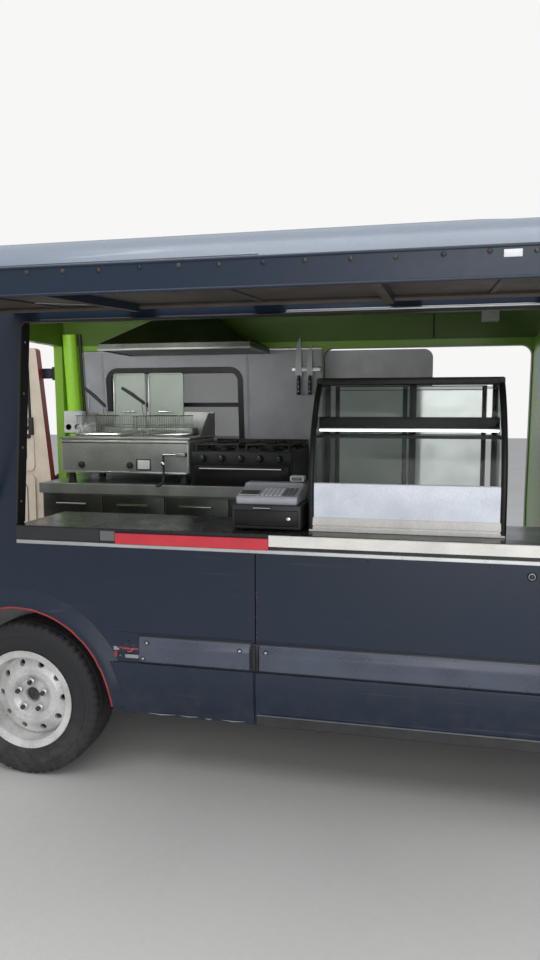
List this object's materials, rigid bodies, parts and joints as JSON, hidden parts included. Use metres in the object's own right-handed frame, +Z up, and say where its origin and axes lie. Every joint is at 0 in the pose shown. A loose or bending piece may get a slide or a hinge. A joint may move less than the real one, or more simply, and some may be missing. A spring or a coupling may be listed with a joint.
{
  "type": "food truck",
  "caption": "Food truck on a raised-roof panel van: serving hatch with a lifting flap, counter, chilled display case and a small kitchen inside.",
  "frame": {"origin": "ground point under the middle of the parked truck's whole box, opened rear door, flap and mirrors included", "axes": "+X forward, +Y to the van's left, +Z up"},
  "size_m": [6.0999, 3.0921, 2.44],
  "materials": {
    "body": "semi-matte repaint over red",
    "trim": "grained plastic",
    "moulding": "grey rubbing moulding",
    "floor": "worn",
    "glass": "clear",
    "dark_glass": "tinted",
    "lamp": "lens",
    "chassis": "black, dusty",
    "steel": "brushed",
    "dark_steel": "smoked steel",
    "black_metal": "gloss black",
    "chrome": "polished",
    "cloth": "woven",
    "counter": "black laminate",
    "strip": "red and white strips",
    "case_frame": "black frame",
    "lining": "grey washable sheet",
    "till": "moulded",
    "rim_steel": "silver, dirty",
    "tyre": "dusty rubber"
  },
  "bodies": {
    "root": {"cab_frame": "body", "counter": "counter", "counter_strips": "strip", "dashboard": "trim", "display_case": "case_frame", "display_glass": "glass", "engine": "chassis", "exhaust": "steel", "front_bumper": "trim", "front_wings": "body", "fryer": "steel", "fuel_tank": "trim", "grille": "trim", "hob": "black_metal", "hood": "dark_steel", "kitchen_units": "steel", "lamps": "lamp", "lining": "lining", "load_floor": "floor", "old_door_right": "body", "rear_axle": "chassis", "rear_bumper": "trim", "roof": "body", "seats": "cloth", "side_glass": "dark_glass", "side_left": "body", "side_mouldings": "moulding", "side_right": "body", "sliding_door_left": "body", "spare_wheel": "tyre", "till": "till", "underframe": "chassis", "window_rubber": "trim", "windscreen": "glass"},
    "flap": {"hatch_flap": "body"},
    "strut_tube_rear": {"strut_tube_rear": "black_metal"},
    "strut_rod_rear": {"strut_rod_rear": "chrome"},
    "strut_tube_front": {"strut_tube_front": "black_metal"},
    "strut_rod_front": {"strut_rod_front": "chrome"},
    "cab_door_left": {"cab_door_left": "body", "cab_glass_left": "glass", "mirror_left": "trim"},
    "cab_door_right": {"cab_door_right": "body", "cab_glass_right": "glass", "mirror_right": "trim"},
    "rear_door_left": {"rear_door_left": "body", "rear_glass_left": "dark_glass"},
    "rear_door_right": {"rear_door_right": "body", "rear_glass_right": "dark_glass"},
    "bonnet": {"bonnet": "body"},
    "knuckle_left": {"knuckle_left": "chassis"},
    "knuckle_right": {"knuckle_right": "chassis"},
    "wheel_front_left": {"rim_front_left": "rim_steel", "tyre_front_left": "tyre"},
    "wheel_front_right": {"rim_front_right": "rim_steel", "tyre_front_right": "tyre"},
    "wheel_rear_left": {"rim_rear_left": "rim_steel", "tyre_rear_left": "tyre"},
    "wheel_rear_right": {"rim_rear_right": "rim_steel", "tyre_rear_right": "tyre"}
  },
  "joints": [
    {"name": "flap_hinge", "type": "hinge", "parent": "root", "child": "flap", "pos_m": [-0.25, -0.59719, 2.026], "axis": [1, 0, 0], "range_deg": [0, 80.15]},
    {"name": "strut_rear_swing", "type": "hinge", "parent": "root", "child": "strut_tube_rear", "pos_m": [-1.456, -0.64067, 1.25], "axis": [1, 0, 0], "range_deg": [-18.43, 0.5]},
    {"name": "strut_rear_slide", "type": "slide", "parent": "strut_tube_rear", "child": "strut_rod_rear", "axis": [0, -0.3158, 0.9488], "range_m": [-0.33537, 0.001]},
    {"name": "strut_front_swing", "type": "hinge", "parent": "root", "child": "strut_tube_front", "pos_m": [0.916, -0.64067, 1.25], "axis": [1, 0, 0], "range_deg": [-18.43, 0.5]},
    {"name": "strut_front_slide", "type": "slide", "parent": "strut_tube_front", "child": "strut_rod_front", "axis": [0, -0.3158, 0.9488], "range_m": [-0.33537, 0.001]},
    {"name": "cab_door_left_hinge", "type": "hinge", "parent": "root", "child": "cab_door_left", "pos_m": [2.035, 1.35987, 0.8], "axis": [0, 0, -1], "range_deg": [0, 68]},
    {"name": "cab_door_right_hinge", "type": "hinge", "parent": "root", "child": "cab_door_right", "pos_m": [2.035, -0.63013, 0.8], "axis": [0, 0, 1], "range_deg": [0, 68]},
    {"name": "rear_door_left_hinge", "type": "hinge", "parent": "root", "child": "rear_door_left", "pos_m": [-2.183, 1.24087, 0.9], "axis": [0, 0, 1], "range_deg": [-90, 90]},
    {"name": "rear_door_right_hinge", "type": "hinge", "parent": "root", "child": "rear_door_right", "pos_m": [-2.183, -0.51113, 0.9], "axis": [0, 0, 1], "range_deg": [0, 180]},
    {"name": "bonnet_hinge", "type": "hinge", "parent": "root", "child": "bonnet", "pos_m": [2.302, 0.36487, 1.267], "axis": [0, -1, 0], "range_deg": [0, 55]},
    {"name": "steer_left", "type": "hinge", "parent": "root", "child": "knuckle_left", "pos_m": [2.228, 1.10487, 0.343], "axis": [0, 0, 1], "range_deg": [-33, 33]},
    {"name": "wheel_front_left_spin", "type": "hinge", "parent": "knuckle_left", "child": "wheel_front_left", "pos_m": [2.228, 1.23487, 0.343], "axis": [0, 1, 0], "continuous": true},
    {"name": "wheel_rear_left_spin", "type": "hinge", "parent": "root", "child": "wheel_rear_left", "pos_m": [-1.35, 1.23487, 0.343], "axis": [0, 1, 0], "continuous": true},
    {"name": "steer_right", "type": "hinge", "parent": "root", "child": "knuckle_right", "pos_m": [2.228, -0.37513, 0.343], "axis": [0, 0, 1], "range_deg": [-33, 33]},
    {"name": "wheel_front_right_spin", "type": "hinge", "parent": "knuckle_right", "child": "wheel_front_right", "pos_m": [2.228, -0.50513, 0.343], "axis": [0, 1, 0], "continuous": true},
    {"name": "wheel_rear_right_spin", "type": "hinge", "parent": "root", "child": "wheel_rear_right", "pos_m": [-1.35, -0.50513, 0.343], "axis": [0, 1, 0], "continuous": true}
  ],
  "couplings": [
    {"joint": "strut_rear_swing", "follows": "flap_hinge", "ratio": -0.22373},
    {"joint": "strut_rear_slide", "follows": "flap_hinge", "m_per_rad": -0.23902},
    {"joint": "strut_front_swing", "follows": "flap_hinge", "ratio": -0.22373},
    {"joint": "strut_front_slide", "follows": "flap_hinge", "m_per_rad": -0.23902},
    {"joint": "steer_right", "follows": "steer_left", "ratio": 1}
  ]
}
